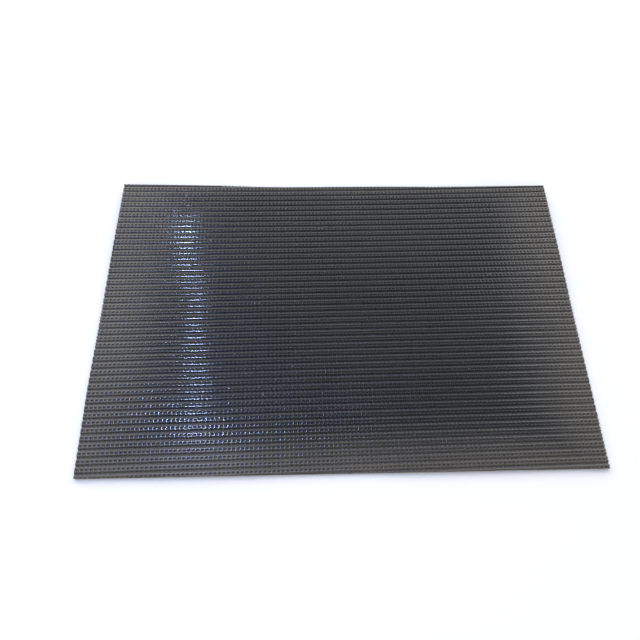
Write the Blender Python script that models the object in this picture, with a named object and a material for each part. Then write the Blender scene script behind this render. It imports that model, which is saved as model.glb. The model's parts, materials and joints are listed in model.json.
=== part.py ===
# Flexible coated door mat, cut straight from a roll and left without a border.
# A thin net of front-to-back strands carries a row of cross ribs, which lie slightly
# off the cut, as they do on a sheet that was cut a little off its grain.
# Metres, +Z up. The origin is the middle of the underside, +X along the width.

import math

import bmesh
import bpy

# Driving dimensions
mat_width = 0.600
mat_depth = 0.400
net_thickness = 0.0014
rib_width = 0.0063
rib_height = 0.0023
rib_pitch = 0.00871
rib_turn = math.radians(1.0)  # the ribs' angle to the front and back cuts
rib_shoulder = 0.0009  # radius along the two upper edges of a rib
rib_start = -0.0035  # from the mat's middle to the nearest rib's centre line
seat_gap = 0.0003  # between a rib's flat foot and the net
least_strip = 0.0008  # a corner strip narrower than this is cut away with the waste
shoulder_segments = 2

# The coating's colour, linear
vinyl_black = (0.012, 0.013, 0.016)
net_black = (0.008, 0.008, 0.009)


def clear_scene():
    for obj in list(bpy.data.objects):
        bpy.data.objects.remove(obj, do_unlink=True)


def new_collection(name):
    collection = bpy.data.collections.new(name)
    bpy.context.scene.collection.children.link(collection)
    return collection


def coating(name, colour, roughness):
    material = bpy.data.materials.new(name)
    material.use_nodes = True
    shader = material.node_tree.nodes["Principled BSDF"]
    shader.inputs["Base Color"].default_value = (*colour, 1.0)
    shader.inputs["Roughness"].default_value = roughness
    shader.inputs["Metallic"].default_value = 0.0
    return material


def block(name, size, collection):
    """A box of the given size, centred on its own origin."""
    mesh = bpy.data.meshes.new(name)
    bm = bmesh.new()
    bmesh.ops.create_cube(bm, size=1.0)
    bmesh.ops.scale(bm, vec=size, verts=bm.verts)
    bm.to_mesh(mesh)
    bm.free()
    obj = bpy.data.objects.new(name, mesh)
    collection.objects.link(obj)
    return obj


def make_cut_outline(collection):
    """The straight cuts: an upright block of the mat's outline, tall enough to hold the ribs."""
    height = 4 * (net_thickness + seat_gap + rib_height)
    outline = block("cut_outline", (mat_width, mat_depth, height), collection)
    outline.hide_render = True
    outline.display_type = "WIRE"
    return outline


def make_net(collection):
    net = block("strand_net", (mat_width, mat_depth, net_thickness), collection)
    net.location.z = net_thickness / 2
    net.data.materials.append(coating("net_vinyl", net_black, 0.55))
    return net


def shoulder_edges(bm):
    """The two long upper edges of a bar that runs along X."""
    return [
        edge
        for edge in bm.edges
        if all(v.co.z > 0 for v in edge.verts)
        and abs(edge.verts[0].co.x - edge.verts[1].co.x) > 2 * rib_width
    ]


def make_rib_bar():
    """One uncut rib: a bar with rounded shoulders, long enough to cross the mat at any turn."""
    length = 1.1 * math.hypot(mat_width, mat_depth)
    mesh = bpy.data.meshes.new("rib_bar")
    bm = bmesh.new()
    bmesh.ops.create_cube(bm, size=1.0)
    bmesh.ops.scale(bm, vec=(length, rib_width, rib_height), verts=bm.verts)
    bmesh.ops.bevel(
        bm,
        geom=shoulder_edges(bm),
        offset=min(rib_shoulder, 0.45 * rib_width, 0.9 * rib_height),
        segments=shoulder_segments,
        profile=0.5,
        affect="EDGES",
    )
    bm.to_mesh(mesh)
    bm.free()
    return mesh


def strip_inside(centre):
    """How wide a strip of the rib with this centre line lies between the front and back cuts."""
    drift = mat_width / 2 * math.tan(rib_turn)
    half = rib_width / 2 / math.cos(rib_turn)
    nearest = max(abs(centre) - drift, 0.0)
    return mat_depth / 2 - (nearest - half)


def rib_centres():
    """Where the ribs' centre lines cross X = 0, from the back of the mat to its front."""
    step = rib_pitch / math.cos(rib_turn)
    reach = math.ceil(mat_depth / 2 / step) + 2
    places = [rib_start + k * step for k in range(reach, -reach - 1, -1)]
    return [y for y in places if strip_inside(y) > least_strip]


def make_ribs(collection, outline):
    bar = make_rib_bar()
    bar.materials.append(coating("rib_vinyl", vinyl_black, 0.3))
    seat = net_thickness + seat_gap
    for number, centre in enumerate(rib_centres(), start=1):
        rib = bpy.data.objects.new(f"rib_{number:02d}", bar.copy())
        collection.objects.link(rib)
        rib.location = (0.0, centre, seat + rib_height / 2)
        rib.rotation_euler.z = rib_turn
        trim = rib.modifiers.new("trim_to_cut", "BOOLEAN")
        trim.operation = "INTERSECT"
        trim.object = outline
    bpy.data.meshes.remove(bar)


def main():
    clear_scene()
    parts = new_collection("door_mat")
    cutters = new_collection("cutters")
    outline = make_cut_outline(cutters)
    make_net(parts)
    make_ribs(parts, outline)


main()
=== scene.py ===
import json
import math

import bmesh
import bpy
import numpy as np
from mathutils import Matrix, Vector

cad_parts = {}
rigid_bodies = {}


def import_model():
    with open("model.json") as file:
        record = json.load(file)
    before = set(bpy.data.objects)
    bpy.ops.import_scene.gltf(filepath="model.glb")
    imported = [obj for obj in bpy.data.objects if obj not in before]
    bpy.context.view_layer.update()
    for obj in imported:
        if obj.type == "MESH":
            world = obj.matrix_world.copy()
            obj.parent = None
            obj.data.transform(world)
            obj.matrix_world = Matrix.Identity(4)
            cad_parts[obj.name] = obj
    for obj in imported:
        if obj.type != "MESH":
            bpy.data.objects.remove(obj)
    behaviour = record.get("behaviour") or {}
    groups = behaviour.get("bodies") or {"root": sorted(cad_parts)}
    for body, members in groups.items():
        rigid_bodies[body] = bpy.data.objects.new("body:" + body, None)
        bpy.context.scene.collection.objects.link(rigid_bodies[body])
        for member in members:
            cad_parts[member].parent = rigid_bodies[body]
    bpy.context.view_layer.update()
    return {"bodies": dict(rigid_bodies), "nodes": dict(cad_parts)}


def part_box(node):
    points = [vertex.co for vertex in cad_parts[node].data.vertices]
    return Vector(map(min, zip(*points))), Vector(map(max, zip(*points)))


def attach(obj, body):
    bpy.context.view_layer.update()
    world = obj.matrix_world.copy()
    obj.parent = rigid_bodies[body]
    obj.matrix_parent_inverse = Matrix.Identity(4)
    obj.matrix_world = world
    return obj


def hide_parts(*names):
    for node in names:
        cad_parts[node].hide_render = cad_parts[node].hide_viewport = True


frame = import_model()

mm = 0.001
body = next(iter(frame["bodies"]))
ribNames = sorted(name for name in frame["nodes"] if name.startswith("rib_"))
netName = "strand_net"
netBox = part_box(netName)
matHalf = (netBox[1].x, netBox[1].y)
draws = np.random.default_rng(11)  # every irregularity comes from this one seed


# the lattice
# Ribs and strands cross at slightly different turns, so places on the mat are given
# along a rib (a) and along a strand (c), and only then turned into x and y.
lattice = {
    "ribTurn": math.radians(1.0),
    "strandTurn": math.radians(1.7),
    "strandPitch": 5.0 * mm,
    "strandStart": 2.2 * mm,  # the middle strand, from the mat's middle
    "rowWander": 0.07 * mm,  # how far a rib drifts off its straight line
    "strandWander": 0.07 * mm,
    "overrun": 9.0 * mm,  # pattern made past the cuts, then trimmed off
    "driftWaves": 14,  # slowest wave of a line's drift, in radians to the metre
    "driftStep": 17,  # what each further wave adds
    "driftPhase": 2.1,
}
trimmedRibs = 4  # ribs at each end that a cut may have trimmed
alongRib = np.array([math.cos(lattice["ribTurn"]), math.sin(lattice["ribTurn"])])
alongStrand = np.array([-math.sin(lattice["strandTurn"]), math.cos(lattice["strandTurn"])])


def ribCentreLines():
    # the whole ribs in the middle give the spacing, and the trimmed ones at the ends follow it
    first, last = trimmedRibs, len(ribNames) - 1 - trimmedRibs
    low = sum(c.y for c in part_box(ribNames[first])) / 2
    high = sum(c.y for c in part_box(ribNames[last])) / 2
    step = (high - low) / (last - first)
    skew = math.cos(lattice["strandTurn"] - lattice["ribTurn"]) / math.cos(lattice["ribTurn"])
    return [(low + (i - first) * step) / skew for i in range(len(ribNames))]


ribCentres = ribCentreLines()
ribStep = ribCentres[0] - ribCentres[1]
strandCount = int(2 * (matHalf[0] + lattice["overrun"]) / lattice["strandPitch"])
rowDrift = draws.uniform(-1, 1, (len(ribNames) + 2, 4))
strandDrift = draws.uniform(-1, 1, (strandCount + 4, 3))


def drift(table, index, along, amount):
    # slow waves whose size and phase are the line's own, blended between neighbouring lines
    base = np.clip(np.floor(index).astype(int), 0, len(table) - 2)
    share = np.clip(index - base, 0, 1)
    waves = 0
    for k in range(table.shape[1]):
        line = table[base, k] * (1 - share) + table[base + 1, k] * share
        pace = lattice["driftWaves"] + lattice["driftStep"] * k
        waves = waves + line * np.sin(along * pace + lattice["driftPhase"] * k)
    return amount * waves / math.sqrt(table.shape[1])


def onMat(a, c):
    row = (ribCentres[0] - c) / ribStep + 1
    strand = (a - lattice["strandStart"]) / lattice["strandPitch"] + strandCount / 2 + 2
    moveC = drift(rowDrift, row, a, lattice["rowWander"])
    moveA = drift(strandDrift, strand, c, lattice["strandWander"])
    x = (a + moveA) * alongRib[0] + (c + moveC) * alongStrand[0]
    y = (a + moveA) * alongRib[1] + (c + moveC) * alongStrand[1]
    return x, y


# how the mat lies
lie = {
    "backCurl": 4.0 * mm,  # the two back corners stand this much off the floor
    "curlFrom": -0.10,  # y where the curl begins
    "ripple": 0.06 * mm,  # slow unevenness, as on any floor
    "rippleAcross": 37,  # waves of the ripple, in radians to the metre
    "rippleAlong": 29,
    "slantAcross": 61,
    "slantAlong": 43,
    "slantShare": 0.6,
}


def lift(x, y):
    t = np.clip((y - lie["curlFrom"]) / (matHalf[1] - lie["curlFrom"]), 0, 1)
    curl = lie["backCurl"] * (x / matHalf[0]) ** 2 * t * t * (3 - 2 * t)
    waves = np.sin(x * lie["rippleAcross"] + 1.0) * np.cos(y * lie["rippleAlong"])
    slanted = lie["slantShare"] * np.sin(x * lie["slantAcross"] - y * lie["slantAlong"])
    return curl + lie["ripple"] * (1 + lie["slantShare"] + (waves + slanted))


# mesh helpers
def meshObject(name, points, faces):
    used = np.unique(np.concatenate([np.asarray(f).ravel() for f in faces]))
    newIndex = np.full(len(points), -1)
    newIndex[used] = np.arange(len(used))
    mesh = bpy.data.meshes.new(name)
    polygons = [row for f in faces for row in newIndex[np.asarray(f)].tolist()]
    mesh.from_pydata(points[used].tolist(), [], polygons)
    obj = bpy.data.objects.new(name, mesh)
    bpy.context.scene.collection.objects.link(obj)
    return obj


def trimToCuts(obj, cutMaterialIndex=1):
    # four straight cuts through the closed body, each one closed again with the cut face
    bm = bmesh.new()
    bm.from_mesh(obj.data)
    for face in bm.faces:
        face.smooth = True
    for axis, half in ((0, matHalf[0]), (1, matHalf[1])):
        for side in (-1, 1):
            point = [0.0, 0.0, 0.0]
            normal = [0.0, 0.0, 0.0]
            point[axis] = side * half
            normal[axis] = side
            everything = bm.verts[:] + bm.edges[:] + bm.faces[:]
            cut = bmesh.ops.bisect_plane(
                bm, geom=everything, plane_co=point, plane_no=normal, dist=1e-7, clear_outer=True)
            rim = [e for e in cut["geom_cut"] if isinstance(e, bmesh.types.BMEdge) and e.is_boundary]
            if rim:
                caps = bmesh.ops.edgeloop_fill(bm, edges=rim)["faces"]
                for face in caps:
                    face.material_index = cutMaterialIndex
                    face.smooth = False
    bmesh.ops.recalc_face_normals(bm, faces=bm.faces)
    bm.to_mesh(obj.data)
    bm.free()


cuts = {
    "wobble": 0.10 * mm,  # how far the knife strays
    "nick": 0.9 * mm,  # deepest tear where the front cut opens a row of pits
    "nickedFrom": (-0.236, -0.114, 0.222),  # stretches of the front cut that show nicks
    "nickedTo": (-0.204, -0.108, 0.284),
    "every": 2.5 * mm,  # one random depth in this length, so nicks come at about the strands' spacing
}
knife = draws.uniform(0, 1, 600)  # more depths than the longest cut needs


def raggedness(along):
    # depths of the stray of the knife and of a nick, blended from one random depth to the next
    place = (along + matHalf[0]) / cuts["every"]
    base = np.clip(place.astype(int), 0, len(knife) - 2)
    share = place - base
    depth = knife[base] * (1 - share) + knife[base + 1] * share
    return cuts["wobble"] * depth, cuts["nick"] * depth ** 2


def roughenCuts(obj):
    count = len(obj.data.vertices)
    flat = np.empty(count * 3)
    obj.data.vertices.foreach_get("co", flat)
    points = flat.reshape(-1, 3)
    for axis in (0, 1):
        other = points[:, 1 - axis]
        wobble, nick = raggedness(other)
        for side in (-1, 1):
            onCut = np.abs(points[:, axis] - side * matHalf[axis]) < 1e-6
            depth = wobble
            if axis == 1 and side == -1:
                for low, high in zip(cuts["nickedFrom"], cuts["nickedTo"]):
                    depth = np.where((other > low) & (other < high), wobble + nick, depth)
            points[onCut, axis] -= side * depth[onCut]
    obj.data.vertices.foreach_set("co", points.ravel())
    obj.data.update()


def layDown(obj):
    count = len(obj.data.vertices)
    flat = np.empty(count * 3)
    obj.data.vertices.foreach_get("co", flat)
    points = flat.reshape(-1, 3)
    points[:, 2] += lift(points[:, 0], points[:, 1])
    obj.data.vertices.foreach_set("co", points.ravel())
    obj.data.update()


def gridQuads(table):
    return np.stack([table[:-1, :-1], table[1:, :-1], table[1:, 1:], table[:-1, 1:]], axis=-1)


# ribs
rib = {
    "foot": 1.45 * mm,  # underside of the rib, on the net
    "waist": 2.70 * mm,  # where the rounded shoulders end
    "crown": 1.12 * mm,  # height of the rails' crests above the waist
    "railPlace": 1.65 * mm,  # a rail's crest from the rib's centre line
    "railRadius": 3.0 * mm,  # gentle fall from the crest outwards
    "railTop": 1.30 * mm,  # length of that fall, before the shoulder turns down
    "shoulder": 0.20 * mm,
    "railInner": 0.80 * mm,  # the crest falls into the pits within this
    "rungHalf": 1.60 * mm,
    "rungSquareness": 3.2,  # 2 is an ellipse, more is flatter on top
    "rungDome": 0.06 * mm,  # a rung's middle stands this much above the rails
    "frontWave": 0.50 * mm,  # the front foot swings forward at the rungs, its crest stays straight
    "frontStraight": 2.88 * mm,  # the front stays straight to here, and swings fully after frontTurn more
    "frontTurn": 0.20 * mm,
    "backWave": 0.30 * mm,  # the back shoulder swings back round the pits
    "backStraight": 1.9 * mm,
    "backTurn": 1.0 * mm,
    "innerEdge": 0.2 * mm,  # rungs join a rail from this far inside its crest
    "blend": 8,  # how tightly a rung meets a rail
    "pitTaper": 0.62,  # width of a pit at the underside, against its mouth
    "cornerPull": 0.84,  # rounds the corners of the pits
    "unevenness": 0.015,  # from rung to rung
}
acrossCell = np.array([0.0, 0.16, 0.29, 0.50, 0.71, 0.84])  # shares of the strand spacing
pitColumns = (2, 3, 4)
# lines of the mesh on one side of a rib's centre line, close together where the surface turns
halfRib = np.array([0.42, 1.10, 1.38, 1.65, 1.98, 2.32, 2.62, 2.88, 2.95, 3.04, 3.11, 3.15]) * mm
acrossRib = np.concatenate([-halfRib[::-1], halfRib])
pitEdge = len(halfRib) - 2  # the first of the four lines across the rib that bound its pits
cellColumns = len(acrossCell)


def waveOf(share, fromCentre):
    # nothing at the pits' mouths and the whole swing at the rib's feet
    front = np.clip((-fromCentre - rib["frontStraight"]) / rib["frontTurn"], 0, 1)
    back = np.clip((fromCentre - rib["backStraight"]) / rib["backTurn"], 0, 1)
    return -np.cos(2 * math.pi * share) * (rib["frontWave"] * front + rib["backWave"] * back)


def railHeight(fromCrest):
    # outwards a long gentle fall and then a round shoulder, inwards a short round fall into the pits
    fall = np.clip(fromCrest, 0, rib["railTop"] + rib["shoulder"]) ** 2 / (2 * rib["railRadius"])
    past = np.clip((fromCrest - rib["railTop"]) / rib["shoulder"], 0, 1)
    outer = (rib["crown"] - fall) * np.sqrt(1 - past ** 2)
    inner = rib["crown"] * np.sqrt(np.clip(1 - (fromCrest / rib["railInner"]) ** 2, 0, 1))
    return np.where(fromCrest > 0, outer, inner)


def ribHeight(share, t, size):
    # rails run along the rib, rungs across it between their crests
    fromRung = np.minimum(share, 1 - share) * lattice["strandPitch"]
    fromCrest = np.abs(t) - rib["railPlace"]
    power = rib["rungSquareness"]
    rung = np.clip(1 - (fromRung / rib["rungHalf"]) ** power, 0, 1) ** (1 / power)
    ridge = rib["crown"] + rib["rungDome"] * np.clip(1 - (t / rib["railPlace"]) ** 2, 0, 1)
    rung = ridge * rung * size
    rail = railHeight(fromCrest)
    blended = (rail ** rib["blend"] + rung ** rib["blend"]) ** (1 / rib["blend"])
    return rib["waist"] + np.where(fromCrest < -rib["innerEdge"], np.minimum(blended, ridge), rail)


def makeRib(name, centre):
    count = strandCount
    columns = count * cellColumns + 1
    cell = np.arange(columns) // cellColumns
    position = np.arange(columns) % cellColumns
    share = acrossCell[position]
    along = lattice["strandStart"] + (cell - count // 2 + share) * lattice["strandPitch"]
    a = np.repeat(along[:, None], len(acrossRib), axis=1)
    t = np.repeat(acrossRib[None, :], columns, axis=0)
    size = 1 + rib["unevenness"] * draws.uniform(-1, 1, count + 1)
    nearest = np.minimum(cell + (share > 0.5), count)
    z = ribHeight(share[:, None], t, size[nearest][:, None])
    z[:, [0, -1]] = rib["foot"]
    z[:, [1, -2]] = rib["waist"]
    # round the pit: its corners come in towards its middle
    middle = lattice["strandStart"] + (cell - count // 2 + 0.5) * lattice["strandPitch"]
    corner = np.isin(position, (pitColumns[0], pitColumns[-1]))
    for j in (pitEdge, pitEdge + 3):
        a[corner, j] = middle[corner] + (a[corner, j] - middle[corner]) * rib["cornerPull"]
        t[corner, j] *= rib["cornerPull"]
    top = np.arange(columns * len(acrossRib)).reshape(columns, len(acrossRib))
    # underside: the same outline and the same pits, a little narrower
    lowRows = [pitEdge + k for k in range(4)]
    lowA = middle[:, None] + (a[:, lowRows] - middle[:, None]) * rib["pitTaper"]
    onRung = ~np.isin(position, pitColumns)
    lowA[onRung] = a[onRung][:, lowRows]
    lowT = t[:, lowRows] * rib["pitTaper"]
    low = top.size + np.arange(columns * 4).reshape(columns, 4)
    bottom = np.concatenate([top[:, :1], low, top[:, -1:]], axis=1)
    allA = np.concatenate([a.ravel(), lowA.ravel()])
    allT = np.concatenate([t.ravel(), lowT.ravel()])
    allZ = np.concatenate([z.ravel(), np.full(lowA.size, rib["foot"])])
    allShare = np.concatenate([np.repeat(share, len(acrossRib)), np.repeat(share, 4)])
    x, y = onMat(allA, centre + allT + waveOf(allShare, allT))
    points = np.stack([x, y, allZ], axis=1)
    pitHere = np.isin(position[:-1], pitColumns[:-1])
    topQuads = gridQuads(top)
    keepTop = np.ones(topQuads.shape[:2], bool)
    keepTop[np.ix_(pitHere, lowRows[:3])] = False
    lowQuads = gridQuads(bottom)[:, :, ::-1]
    keepLow = np.ones(lowQuads.shape[:2], bool)
    keepLow[np.ix_(pitHere, [1, 2, 3])] = False
    walls = []
    for i in np.flatnonzero(pitHere):
        near, far = lowRows[0], lowRows[3]
        walls.append([top[i, near], bottom[i, 1], bottom[i + 1, 1], top[i + 1, near]])
        walls.append([top[i + 1, far], bottom[i + 1, 4], bottom[i, 4], top[i, far]])
    for i in np.flatnonzero(position == pitColumns[0]):
        end = i + len(pitColumns) - 1
        for k in range(3):
            j, m = pitEdge + k, 1 + k
            walls.append([top[i, j + 1], bottom[i, m + 1], bottom[i, m], top[i, j]])
            walls.append([top[end, j], bottom[end, m], bottom[end, m + 1], top[end, j + 1]])
    return meshObject(name, points, [topQuads[keepTop], lowQuads[keepLow], np.array(walls)])


# net
net = {
    "film": 2.10 * mm,  # floor of the pits between ribs
    "ledge": 1.40 * mm,  # flat top under the ribs
    "strandTop": 2.60 * mm,  # crest of a strand in the groove
    "windowFloor": 2.50 * mm,  # floor seen through a rib's pits
    "emboss": 0.25 * mm,  # hollows of the underside
    "rimRise": 0.25 * mm,  # how much the film climbs towards a rib
}
netColumns = np.array([0.0, 0.14, 0.27, 0.73, 0.86])
strandShape = np.array([1.0, 0.78, 0.0, 0.0, 0.78])  # 1 on the crest, 0 on the pit floor
grooveRows = np.array([-1.55, -1.18, -0.55, 0.55, 1.18, 1.55]) * mm  # from the middle of a groove
grooveKinds = {1.55: "ledge", 1.18: "rim", 0.55: "pit"}


def makeNet():
    columns = strandCount * len(netColumns) + 1
    cell = np.arange(columns) // len(netColumns)
    position = np.arange(columns) % len(netColumns)
    share = netColumns[position]
    shape = strandShape[position]
    a = lattice["strandStart"] + (cell - strandCount // 2 + share) * lattice["strandPitch"]
    places, kinds = [], []
    for centre in [ribCentres[0] + ribStep, *ribCentres, ribCentres[-1] - ribStep]:
        places.append(centre)
        kinds.append("window")
        for offset in grooveRows[::-1]:
            places.append(centre - ribStep / 2 + offset)
            kinds.append(grooveKinds[round(abs(offset) / mm, 2)])
    heights = {
        "window": net["ledge"] * shape + net["windowFloor"] * (1 - shape),
        "ledge": np.full(columns, net["ledge"]),
        "rim": net["strandTop"] * shape + (net["film"] + net["rimRise"]) * (1 - shape),
        "pit": net["strandTop"] * shape + net["film"] * (1 - shape),
    }
    c = np.array(places)
    z = np.stack([heights[k] for k in kinds], axis=1)
    upperA, upperC = np.meshgrid(a, c, indexing="ij")
    # the groove swings with the back foot of the rib in front of it
    swinging = np.array([kind != "window" for kind in kinds])
    swing = waveOf(share, rib["railPlace"] + rib["railTop"])[:, None] * swinging
    x, y = onMat(upperA, upperC + swing)
    upper = np.stack([x, y, z], axis=-1).reshape(-1, 3)
    top = np.arange(len(upper)).reshape(upperA.shape)
    # underside: one point at each strand and each gap, on the rib's line and in the groove
    halfSteps = np.arange(strandCount * 2 + 1) / 2
    lowA = lattice["strandStart"] + (halfSteps - strandCount // 2) * lattice["strandPitch"]
    lowC = np.array([v for i, v in enumerate(places) if kinds[i] == "window"])
    lowC = np.sort(np.concatenate([lowC, lowC[:-1] - ribStep / 2, [places[-1]]]))[::-1]
    lowC[0], lowC[-1] = places[0], places[-1]
    lowerA, lowerC = np.meshgrid(lowA, lowC, indexing="ij")
    lx, ly = onMat(lowerA, lowerC)
    hollow = (np.arange(len(lowA))[:, None] % 2) * np.ones(len(lowC))[None, :]
    lower = np.stack([lx, ly, hollow * net["emboss"]], axis=-1).reshape(-1, 3)
    low = len(upper) + np.arange(len(lower)).reshape(lowerA.shape)
    quads = [gridQuads(top).reshape(-1, 4)[:, ::-1], gridQuads(low).reshape(-1, 4)]
    rims = ((top[0], low[0]), (top[-1], low[-1]), (top[:, 0], low[:, 0]), (top[:, -1], low[:, -1]))
    sides = [np.concatenate([upperRim, lowerRim[::-1]])[None, :] for upperRim, lowerRim in rims]
    points = np.concatenate([upper, lower])
    return meshObject("strandNet", points, quads + sides)


# materials
def linear(hexColour):
    channels = [int(hexColour[i:i + 2], 16) / 255 for i in (1, 3, 5)]
    return [c / 12.92 if c <= 0.04045 else ((c + 0.055) / 1.055) ** 2.4 for c in channels] + [1.0]


def addNode(tree, kind, settings=None, inputs=None, links=None):
    node = tree.nodes.new(kind)
    for key, value in (settings or {}).items():
        setattr(node, key, value)
    for key, value in (inputs or {}).items():
        node.inputs[key].default_value = value
    for key, source in (links or {}).items():
        tree.links.new(source, node.inputs[key])
    return node


def newMaterial(name):
    material = bpy.data.materials.new(name)
    material.use_nodes = True
    tree = material.node_tree
    return material, tree, tree.nodes["Principled BSDF"]


vinyl = {
    "colour": "#13161b",
    "dusty": "#25272a",
    "paintedGlare": "#5a564f",  # painted glare: paler, greyer colour towards the cut edges, standing in for hazy light
    "glareSides": (0.20, 0.305),  # from the middle: where it begins and where it would be whole
    "glareFront": (0.140, 0.205),
    "glareBack": (0.172, 0.215),
    "glareMost": 0.95,
    "roughness": 0.09,
    "glareRoughness": 0.26,  # roughness that the painted glare adds
    "ior": 1.53,
    "cloud": 110 * mm,
    "handling": 6.0 * mm,  # spots where fingers and dust have dulled it
    "peel": 0.35 * mm,  # orange peel of the dip coating
    "peelDepth": 0.05 * mm,
    "peelStrength": 0.05,
    "dullest": 1.35,  # roughness of a handled spot, as a share of the roughness
    "glossiest": 0.85,
    "glareLeast": 0.7,  # thinnest painted glare, as a share of the strongest
}


paleNet = {  # the net between the ribs is paler and duller, and its painted glare reaches further in
    "colour": "#24262b",
    "dusty": "#3a3a39",
    "paintedGlare": "#716d66",
    "glareSides": (0.14, 0.30),
    "glareFront": (0.100, 0.200),
    "glareBack": (0.020, 0.190),
    "roughness": 0.28,
}


def glareMaskOf(tree, place, values):
    # where the painted glare lies: 0 in the middle of the mat and 1 at its edges
    parts = addNode(tree, "ShaderNodeSeparateXYZ", links={"Vector": place})
    aside = addNode(tree, "ShaderNodeMath", {"operation": "ABSOLUTE"},
                    links={"Value": parts.outputs["X"]})
    forward = addNode(tree, "ShaderNodeMath", {"operation": "MULTIPLY"},
                      links={"Value": parts.outputs["Y"]})
    forward.inputs[1].default_value = -1.0
    total = None
    for source, span in ((aside.outputs["Value"], values["glareSides"]),
                         (forward.outputs["Value"], values["glareFront"]),
                         (parts.outputs["Y"], values["glareBack"])):
        reach = addNode(tree, "ShaderNodeMapRange", {"interpolation_type": "SMOOTHSTEP"},
                        {"From Min": span[0], "From Max": span[1]}, {"Value": source})
        if total is None:
            total = reach.outputs["Result"]
            continue
        either = addNode(tree, "ShaderNodeMath", {"operation": "MAXIMUM"})
        tree.links.new(total, either.inputs[0])
        tree.links.new(reach.outputs["Result"], either.inputs[1])
        total = either.outputs["Value"]
    return total


def dipCoatedVinyl(name, values):
    # plasticised PVC, dip-coated over yarn: near black, wet-looking on the crests, faintly dusty,
    # with a greyer painted glare towards the cut edges, standing in for hazy light, and duller there
    material, tree, shader = newMaterial(name)
    place = addNode(tree, "ShaderNodeTexCoord").outputs["Object"]
    cloud = addNode(tree, "ShaderNodeTexNoise", inputs={"Scale": 1 / values["cloud"], "Detail": 4.0},
                    links={"Vector": place})
    dust = addNode(tree, "ShaderNodeMix", {"data_type": "RGBA"},
                   {"A": linear(values["colour"]), "B": linear(values["dusty"])},
                   {"Factor": cloud.outputs["Fac"]})
    # painted glare towards the edges, made patchy by the cloud
    glareMask = glareMaskOf(tree, place, values)
    patchy = addNode(tree, "ShaderNodeMapRange",
                     inputs={"From Min": 0.3, "From Max": 0.7,
                             "To Min": values["glareLeast"] * values["glareMost"],
                             "To Max": values["glareMost"]},
                     links={"Value": cloud.outputs["Fac"]})
    share = addNode(tree, "ShaderNodeMath", {"operation": "MULTIPLY"})
    tree.links.new(glareMask, share.inputs[0])
    tree.links.new(patchy.outputs["Result"], share.inputs[1])
    # mixes the painted glare's paler colour into the base colour
    colour = addNode(tree, "ShaderNodeMix", {"data_type": "RGBA"}, {"B": linear(values["paintedGlare"])},
                     {"Factor": share.outputs["Value"], "A": dust.outputs["Result"]})
    tree.links.new(colour.outputs["Result"], shader.inputs["Base Color"])
    fine = addNode(tree, "ShaderNodeTexNoise", inputs={"Scale": 1 / values["handling"], "Detail": 2.0},
                   links={"Vector": place})
    handled = addNode(tree, "ShaderNodeMapRange",
                      inputs={"From Min": 0.3, "From Max": 0.7,
                              "To Min": values["roughness"] * values["glossiest"],
                              "To Max": values["roughness"] * values["dullest"]},
                      links={"Value": fine.outputs["Fac"]})
    # the painted glare's share also raises the roughness
    rough = addNode(tree, "ShaderNodeMath", {"operation": "MULTIPLY_ADD"})
    tree.links.new(share.outputs["Value"], rough.inputs[0])
    rough.inputs[1].default_value = values["glareRoughness"]
    tree.links.new(handled.outputs["Result"], rough.inputs[2])
    tree.links.new(rough.outputs["Value"], shader.inputs["Roughness"])
    peel = addNode(tree, "ShaderNodeTexNoise", inputs={"Scale": 1 / values["peel"], "Detail": 2.0},
                   links={"Vector": place})
    relief = addNode(tree, "ShaderNodeBump",
                     inputs={"Strength": values["peelStrength"], "Distance": values["peelDepth"]},
                     links={"Height": peel.outputs["Fac"]})
    tree.links.new(relief.outputs["Normal"], shader.inputs["Normal"])
    shader.inputs["IOR"].default_value = values["ior"]
    shader.inputs["Metallic"].default_value = 0.0
    return material


cutFaces = {
    "colour": "#1b1b1c",
    "smeared": "#333231",
    "grain": 0.4 * mm,  # marks of the knife
    "roughness": 0.6,
}


def cutVinyl(values):
    # the knife's face through the coating: the same PVC, dull and a little greyer
    material, tree, shader = newMaterial("cutPlasticisedPVC")
    place = addNode(tree, "ShaderNodeTexCoord")
    grain = addNode(tree, "ShaderNodeTexNoise", inputs={"Scale": 1 / values["grain"], "Detail": 3.0},
                    links={"Vector": place.outputs["Object"]})
    mixed = addNode(tree, "ShaderNodeMix", {"data_type": "RGBA"},
                    {"A": linear(values["colour"]), "B": linear(values["smeared"])},
                    {"Factor": grain.outputs["Fac"]})
    tree.links.new(mixed.outputs["Result"], shader.inputs["Base Color"])
    shader.inputs["Roughness"].default_value = values["roughness"]
    return material


# stage
view = {
    "place": (-0.0318, -0.2831, 0.5780),
    "turn": (24.41, -1.91, -1.36),
    "lens": 28.3,
    "sensor": 36.0,
    "shift": (-0.0258, 0.0123),
}


def makeCamera():
    data = bpy.data.cameras.new("camera")
    data.sensor_width = view["sensor"]
    data.lens = view["lens"]
    data.shift_x, data.shift_y = view["shift"]
    data.clip_start = 0.01
    camera = bpy.data.objects.new("camera", data)
    camera.location = view["place"]
    camera.rotation_euler = [math.radians(v) for v in view["turn"]]
    bpy.context.scene.collection.objects.link(camera)
    bpy.context.scene.camera = camera


floorPaint = {
    "colour": "#fefefd",
    "roughness": 0.9,
    "reach": 6.0,  # from the mat to the floor's edges
    "below": 0.3 * mm,  # keeps the floor clear of the mat's underside
}


def makeFloor():
    bm = bmesh.new()
    bmesh.ops.create_grid(bm, x_segments=4, y_segments=4, size=floorPaint["reach"])
    mesh = bpy.data.meshes.new("paleFloor")
    bm.to_mesh(mesh)
    bm.free()
    floor = bpy.data.objects.new("paleFloor", mesh)
    floor.location.z = -floorPaint["below"]
    material, tree, shader = newMaterial("palePaintedFloor")
    # matt emulsion paint: an even pale ground with no gloss
    shader.inputs["Base Color"].default_value = linear(floorPaint["colour"])
    shader.inputs["Roughness"].default_value = floorPaint["roughness"]
    mesh.materials.append(material)
    bpy.context.scene.collection.objects.link(floor)


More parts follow.
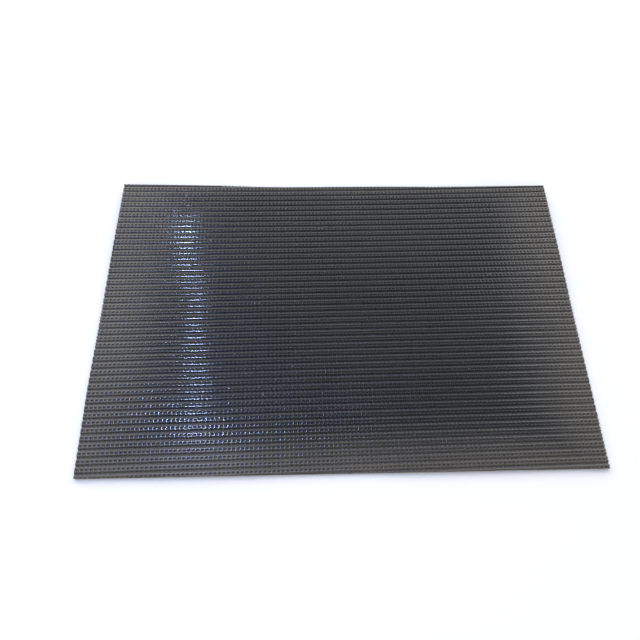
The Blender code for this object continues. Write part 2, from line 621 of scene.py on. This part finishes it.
lights = {
    "streakLamp": {"place": (-0.458, 0.14, 1.20), "size": (0.055, 0.055), "watts": 4.4, "tint": "#b8ccff"},
    "cornerLamp": {"place": (0.84, 0.78, 1.16), "size": (0.20, 0.30), "watts": 0.8, "tint": "#fbfcff"},
    "streakHalo": {"place": (-0.50, 0.12, 1.25), "size": (0.30, 0.60), "watts": 1.0, "tint": "#7f9cff"},
}
# The studio is dark straight overhead, where someone stands, and bright to both sides at the back.
sky = {
    "floor": 0.11,  # brightness of the dark part
    "across": ((-0.60, 0.7), (-0.34, 0.56), (-0.12, 0.0), (0.26, 0.0), (0.48, 0.5), (0.75, 0.8)),
    "along": ((-0.05, 0.0), (0.30, 0.25), (0.60, 1.0)),
    "peak": 3.7,
    "behind": ((-0.75, 0.85), (-0.30, 0.0), (0.46, 0.0), (0.72, 1.0)),  # pale walls, the near one dimmer
    "wall": 1.45,
    "tint": "#fdfcfb",
    "backdrop": "#fbfbfa",  # what the camera sees past the floor
}


def addRamp(tree, source, steps):
    shifted = addNode(tree, "ShaderNodeMapRange", inputs={"From Min": -1.0}, links={"Value": source})
    ramp = addNode(tree, "ShaderNodeValToRGB", links={"Fac": shifted.outputs["Result"]})
    ramp.color_ramp.interpolation = "EASE"
    points = ramp.color_ramp.elements
    for index, (place, level) in enumerate(steps):
        point = points[index] if index < 2 else points.new(1.0)
        point.position = (place + 1) / 2
        point.color = (level, level, level, 1)
    return ramp.outputs["Color"]


def makeSky():
    world = bpy.data.worlds.new("studio")
    world.use_nodes = True
    tree = world.node_tree
    place = addNode(tree, "ShaderNodeTexCoord")
    parts = addNode(tree, "ShaderNodeSeparateXYZ", links={"Vector": place.outputs["Generated"]})
    across = addRamp(tree, parts.outputs["X"], sky["across"])
    along = addRamp(tree, parts.outputs["Y"], sky["along"])
    both = addNode(tree, "ShaderNodeMath", {"operation": "MULTIPLY"})
    tree.links.new(across, both.inputs[0])
    tree.links.new(along, both.inputs[1])
    behind = addRamp(tree, parts.outputs["Y"], sky["behind"])
    wall = addNode(tree, "ShaderNodeMath", {"operation": "MULTIPLY_ADD"})
    tree.links.new(behind, wall.inputs[0])
    wall.inputs[1].default_value = sky["wall"]
    wall.inputs[2].default_value = sky["floor"]
    level = addNode(tree, "ShaderNodeMath", {"operation": "MULTIPLY_ADD"})
    tree.links.new(both.outputs["Value"], level.inputs[0])
    level.inputs[1].default_value = sky["peak"]
    tree.links.new(wall.outputs["Value"], level.inputs[2])
    tree.nodes["Background"].inputs["Color"].default_value = linear(sky["tint"])
    tree.links.new(level.outputs["Value"], tree.nodes["Background"].inputs["Strength"])
    seen = addNode(tree, "ShaderNodeBackground", inputs={"Color": linear(sky["backdrop"])})
    path = addNode(tree, "ShaderNodeLightPath")
    choose = addNode(tree, "ShaderNodeMixShader", links={"Fac": path.outputs["Is Camera Ray"]})
    tree.links.new(tree.nodes["Background"].outputs["Background"], choose.inputs[1])
    tree.links.new(seen.outputs["Background"], choose.inputs[2])
    tree.links.new(choose.outputs["Shader"], tree.nodes["World Output"].inputs["Surface"])
    bpy.context.scene.world = world


def makeLights():
    for name, spec in lights.items():
        data = bpy.data.lights.new(name, "AREA")
        data.shape = "RECTANGLE"
        data.size, data.size_y = spec["size"]
        data.energy = spec["watts"]
        data.color = linear(spec["tint"])[:3]
        lamp = bpy.data.objects.new(name, data)
        lamp.location = spec["place"]
        lamp.rotation_mode = "QUATERNION"
        lamp.rotation_quaternion = lamp.location.to_track_quat("Z", "Y")
        lamp.visible_camera = False
        bpy.context.scene.collection.objects.link(lamp)
    makeSky()
    bpy.context.scene.view_settings.view_transform = "Standard"


# making it all
makeCamera()
makeFloor()
makeLights()
print("stage: camera, floor and lights")

ribVinyl = dipCoatedVinyl("dipCoatedPVCGloss", vinyl)
netVinyl = dipCoatedVinyl("dipCoatedPVCNet", {**vinyl, **paleNet})
cutFace = cutVinyl(cutFaces)

netPiece = makeNet()
netPiece.data.materials.append(netVinyl)
netPiece.data.materials.append(cutFace)
trimToCuts(netPiece)
roughenCuts(netPiece)
layDown(netPiece)
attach(netPiece, body)
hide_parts(netName)
print("net:", len(netPiece.data.polygons), "faces")

total = 0
for ribName, centre in zip(ribNames, ribCentres):
    piece = makeRib("coatedRib" + ribName[4:], centre)
    piece.data.materials.append(ribVinyl)
    piece.data.materials.append(cutFace)
    trimToCuts(piece)
    roughenCuts(piece)
    layDown(piece)
    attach(piece, body)
    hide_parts(ribName)
    total += len(piece.data.polygons)
print("ribs:", len(ribNames), "pieces,", total, "faces")
